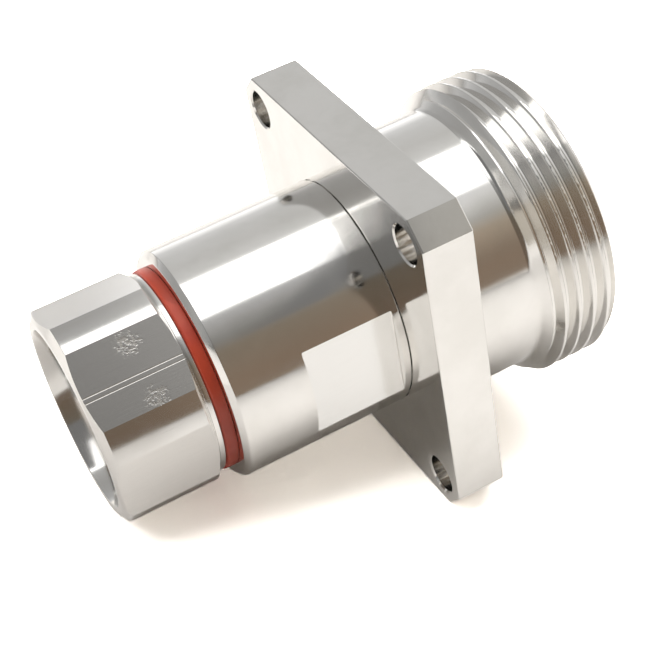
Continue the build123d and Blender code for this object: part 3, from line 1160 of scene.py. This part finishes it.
class Studio:
    """A pale floor, soft light and the camera of the photograph."""

    floor_half: float = 0.6
    floor_touch_flange: Vector = Vector((0.0, 0.0, -16.25))
    floor_touch_nut: Vector = Vector((-27.15, 0.0, -10.15))
    camera_place: Vector = Vector((-42.47, -104.16, 89.25))
    camera_aim: Vector = Vector((-3.59, -1.33, -1.33))
    camera_roll: float = 11.76
    camera_lens: float = 86.42
    camera_sensor: float = 36.0
    box_height: float = 0.3
    box_back: float = 0.134
    box_front: float = 0.092
    box_left: float = -0.3
    box_right: float = 0.45
    box_radiance: float = 1.3
    key_shift: float = 0.03
    key_radiance: float = 5.0
    floor_color: Color = (0.92, 0.89, 0.85)
    floor_shown_color: Color = (3.4, 3.28, 3.13)
    floor_glow_color: Color = (1.0, 0.95, 0.92)
    floor_glow: float = 0.05
    room_to_diffuse: Color = (0.16, 0.16, 0.16)
    nut_zone: tuple[float, float] = (0.14, 0.2)
    nut_zone_level: float = 0.62
    plate_zone: tuple[float, float] = (0.31, 0.36)
    plate_zone_level: float = 1.75
    thread_zone: tuple[float, float] = (0.46, 0.53)
    thread_zone_color: Color = (0.66, 0.615, 0.55)
    card_height: float = 0.29
    card_corners: tuple[tuple[float, float], ...] = (
        (0.081, -0.3), (0.115, -0.3), (0.115, 0.05), (0.0955, 0.05), (0.0875, -0.03), (0.0845, -0.09)
    )
    twin_corners: tuple[tuple[float, float], ...] = (
        (-0.081, -0.3), (-0.3, -0.3), (-0.3, 0.1), (-0.098, 0.1), (-0.0875, -0.03), (-0.0845, -0.09)
    )
    card_radiance: float = 0.19

    def build(self) -> None:
        """Builds the floor, the light, the surroundings and the camera."""
        bpy.context.scene.view_settings.view_transform = "Standard"
        self._floor()
        self._soft_box()
        self._card()
        self._surroundings()
        self._camera()

    def _floor(self) -> None:
        """Lays the floor where the flange and the nut touch it."""
        slope = self.floor_touch_flange - self.floor_touch_nut
        up = Vector((-slope.z, 0.0, slope.x)).normalized()
        bm = bmesh.new()
        bmesh.ops.create_grid(bm, x_segments=1, y_segments=1, size=self.floor_half)
        tilt = up.to_track_quat("Z", "Y").to_matrix().to_4x4()
        bmesh.ops.transform(
            bm, matrix=Matrix.Translation(self.floor_touch_flange * MM) @ tilt, verts=bm.verts
        )
        bmesh.ops.recalc_face_normals(bm, faces=bm.faces)
        for face in bm.faces:
            if face.normal.z < 0:
                face.normal_flip()
        floor = finish_mesh(bm, "floor")
        dress(floor, self._floor_material())

    def _floor_material(self) -> Material:
        """Builds the pale floor, which keeps shadows and can't be seen from below.

        Returns:
            The material.
        """
        material = bpy.data.materials.new("pale floor")
        net = bare_net(material)
        rays = net.add("ShaderNodeLightPath").outputs
        tone = net.mix_color(rays["Is Camera Ray"], rgba(self.floor_color), rgba(self.floor_shown_color))
        diffuse = net.add("ShaderNodeBsdfDiffuse", {"Color": tone}).outputs[0]
        glow = net.add("ShaderNodeEmission", {"Color": rgba(self.floor_glow_color)})
        net.put(glow.inputs["Strength"], net.math("MULTIPLY", rays["Is Camera Ray"], self.floor_glow))
        both = net.add("ShaderNodeAddShader", {0: diffuse, 1: glow.outputs[0]}).outputs[0]
        back = net.add("ShaderNodeNewGeometry").outputs["Backfacing"]
        clear = net.add("ShaderNodeBsdfTransparent").outputs[0]
        shown = net.add("ShaderNodeMixShader", {0: back, 1: both, 2: clear}).outputs[0]
        net.add("ShaderNodeOutputMaterial", {"Surface": shown})
        return material

    def _soft_box(self) -> None:
        """Hangs the soft box whose edges run along the connector."""
        self._panel("soft box", self.box_radiance, 0.0)
        self._panel("soft key", self.key_radiance, self.key_shift).visible_glossy = False

    def _card(self) -> None:
        """Hangs a dark card and its twin beyond the flange's plane, which only show in reflections."""
        bm = bmesh.new()
        for corners in (self.card_corners, self.twin_corners):
            bm.faces.new([bm.verts.new((x, y, self.card_height)) for x, y in corners])
        card = finish_mesh(bm, "dark_card")
        material = bpy.data.materials.new("dark card")
        net = bare_net(material)
        light = net.add("ShaderNodeEmission", {"Strength": self.card_radiance}).outputs[0]
        net.add("ShaderNodeOutputMaterial", {"Surface": light})
        dress(card, material)
        card.visible_camera = False
        card.visible_diffuse = False
        card.visible_shadow = False

    def _panel(self, name: str, radiance: float, shift: float) -> Piece:
        """Hangs one lamp of the soft box.

        Args:
            name: The lamp's name.
            radiance: How bright its face is, where a white wall is 1.
            shift: How far it is moved to the back and to the right.

        Returns:
            The lamp, which the camera doesn't see.
        """
        length = self.box_right - self.box_left
        width = self.box_back + self.box_front
        light = bpy.data.lights.new(name, "AREA")
        light.shape = "RECTANGLE"
        light.size = length
        light.size_y = width
        light.energy = radiance * math.pi * length * width
        lamp = bpy.data.objects.new(name, light)
        lamp.location = (
            (self.box_left + self.box_right) / 2 + shift,
            (self.box_back - self.box_front) / 2 + shift,
            self.box_height,
        )
        lamp.visible_camera = False
        bpy.context.scene.collection.objects.link(lamp)
        return lamp

    def _surroundings(self) -> None:
        """Sets the room: white to the camera, and by the angle round the axis to everything else."""
        world = bpy.data.worlds.new("room")
        bpy.context.scene.world = world
        net = bare_net(world)
        way = net.add("ShaderNodeTexCoord").outputs["Generated"]
        parts = net.add("ShaderNodeSeparateXYZ", {0: way}).outputs
        angle = net.math("ARCTAN2", net.math("MULTIPLY", parts["Y"], -1.0), parts["Z"])
        share = net.math("ADD", net.math("DIVIDE", angle, math.tau), 0.5)
        ramp = net.add("ShaderNodeValToRGB", {0: share})
        stops = [
            (-180.0, (0.95, 0.92, 0.88)),
            (-105.0, (1.45, 1.45, 1.45)),
            (-92.0, (1.35, 1.35, 1.35)),
            (-79.0, (0.72, 0.72, 0.72)),
            (-66.0, (0.62, 0.62, 0.615)),
            (-45.0, (0.585, 0.58, 0.57)),
            (-28.0, (0.69, 0.69, 0.68)),
            (18.0, (0.5, 0.5, 0.5)),
            (30.0, (0.375, 0.37, 0.36)),
            (40.0, (0.26, 0.255, 0.24)),
            (50.0, (0.24, 0.2, 0.155)),
            (80.0, (0.25, 0.185, 0.135)),
            (95.0, (0.25, 0.19, 0.14)),
            (97.0, (0.92, 0.89, 0.84)),
            (180.0, (0.95, 0.92, 0.88)),
        ]
        band = ramp.color_ramp
        for place, color in stops[1:-1]:
            band.elements.new((place + 180.0) / 360.0).color = rgba(color)
        band.elements[0].color = rgba(stops[0][1])
        band.elements[-1].color = rgba(stops[-1][1])
        stand = net.mix(net.ramp(parts["X"], *self.nut_zone), self.nut_zone_level, 1.0)
        around = net.math("MULTIPLY", angle, 180.0 / math.pi)
        lit = net.math("MULTIPLY", net.ramp(around, 10.0, 24.0), net.fade(around, 44.0, 75.0))
        lit = net.math("MULTIPLY", lit, net.ramp(parts["X"], *self.plate_zone))
        stand = net.math("MULTIPLY", stand, net.mix(lit, 1.0, self.plate_zone_level))
        beside = net.math("MULTIPLY", net.ramp(around, 30.0, 45.0), net.ramp(parts["X"], *self.thread_zone))
        factors = {0: 1.0, 6: ramp.outputs[0], 7: stand}
        shade = net.add("ShaderNodeMix", factors, data_type="RGBA", blend_type="MULTIPLY")
        rays = net.add("ShaderNodeLightPath").outputs
        color = net.mix_color(beside, shade.outputs[2], rgba(self.thread_zone_color))
        color = net.mix_color(rays["Is Diffuse Ray"], color, rgba(self.room_to_diffuse))
        color = net.mix_color(rays["Is Camera Ray"], color, rgba((1.0, 1.0, 1.0)))
        ground = net.add("ShaderNodeBackground", {"Color": color, "Strength": 1.0}).outputs[0]
        net.add("ShaderNodeOutputWorld", {"Surface": ground})

    def _camera(self) -> None:
        """Places the camera as it was solved from the photograph."""
        data = bpy.data.cameras.new("camera")
        data.lens = self.camera_lens
        data.sensor_width = self.camera_sensor
        data.clip_start = 0.005
        camera = bpy.data.objects.new("camera", data)
        look = (self.camera_aim - self.camera_place).to_track_quat("-Z", "Y").to_matrix().to_4x4()
        roll = Matrix.Rotation(-math.radians(self.camera_roll), 4, "Z")
        camera.matrix_world = Matrix.Translation(self.camera_place * MM) @ look @ roll
        bpy.context.scene.collection.objects.link(camera)
        bpy.context.scene.camera = camera


@dataclass
class Connector:
    """The whole connector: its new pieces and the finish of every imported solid."""

    shell: FrontShell = field(default_factory=FrontShell)
    sleeve: RearSleeve = field(default_factory=RearSleeve)
    nut: ClampNut = field(default_factory=ClampNut)
    gasket: Gasket = field(default_factory=Gasket)

    def build(self) -> None:
        """Builds the new pieces and dresses them all."""
        effects = Effects()
        made = {name: finish.build(effects) for name, finish in FINISHES.items()}
        self._place(self.shell.build(), Body.SHELL, "front_shell", made["shell"])
        self._place(self.sleeve.build(), Body.SHELL, "rear_sleeve", made["shell"])
        self._place(self.nut.build(), Body.NUT, "clamp_nut", made["nut"])
        self._place(self.gasket.build(), Body.NUT, "nut_gasket", made["red"])
        dress_flats(bpy.data.objects["sleeve"], made["milled"], self.sleeve.flat_distance)
        dress_flats(bpy.data.objects["hexagon_nut"], made["nut_flat"], self.nut.flat_r)
        for node, finish in CARRIED_OVER.items():
            dress(frame["nodes"][node], made[finish])
            log.info("dressed %s", node)

    def _place(
        self, piece: Piece, body: Body, node: str, material: Material
    ) -> None:
        """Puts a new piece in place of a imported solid.

        Args:
            piece: The new piece.
            body: The body it rides on.
            node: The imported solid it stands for.
            material: Its finish.
        """
        dress(piece, material)
        even_normals(piece)
        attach(piece, body.value)
        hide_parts(node)
        log.info("built %s for %s: %d faces", piece.name, node, len(piece.data.polygons))


def main() -> None:
    """Builds the connector and its studio."""
    logging.basicConfig(level=logging.INFO, format="%(name)s: %(message)s")
    Connector().build()
    Studio().build()


if __name__ == "__main__":
    main()
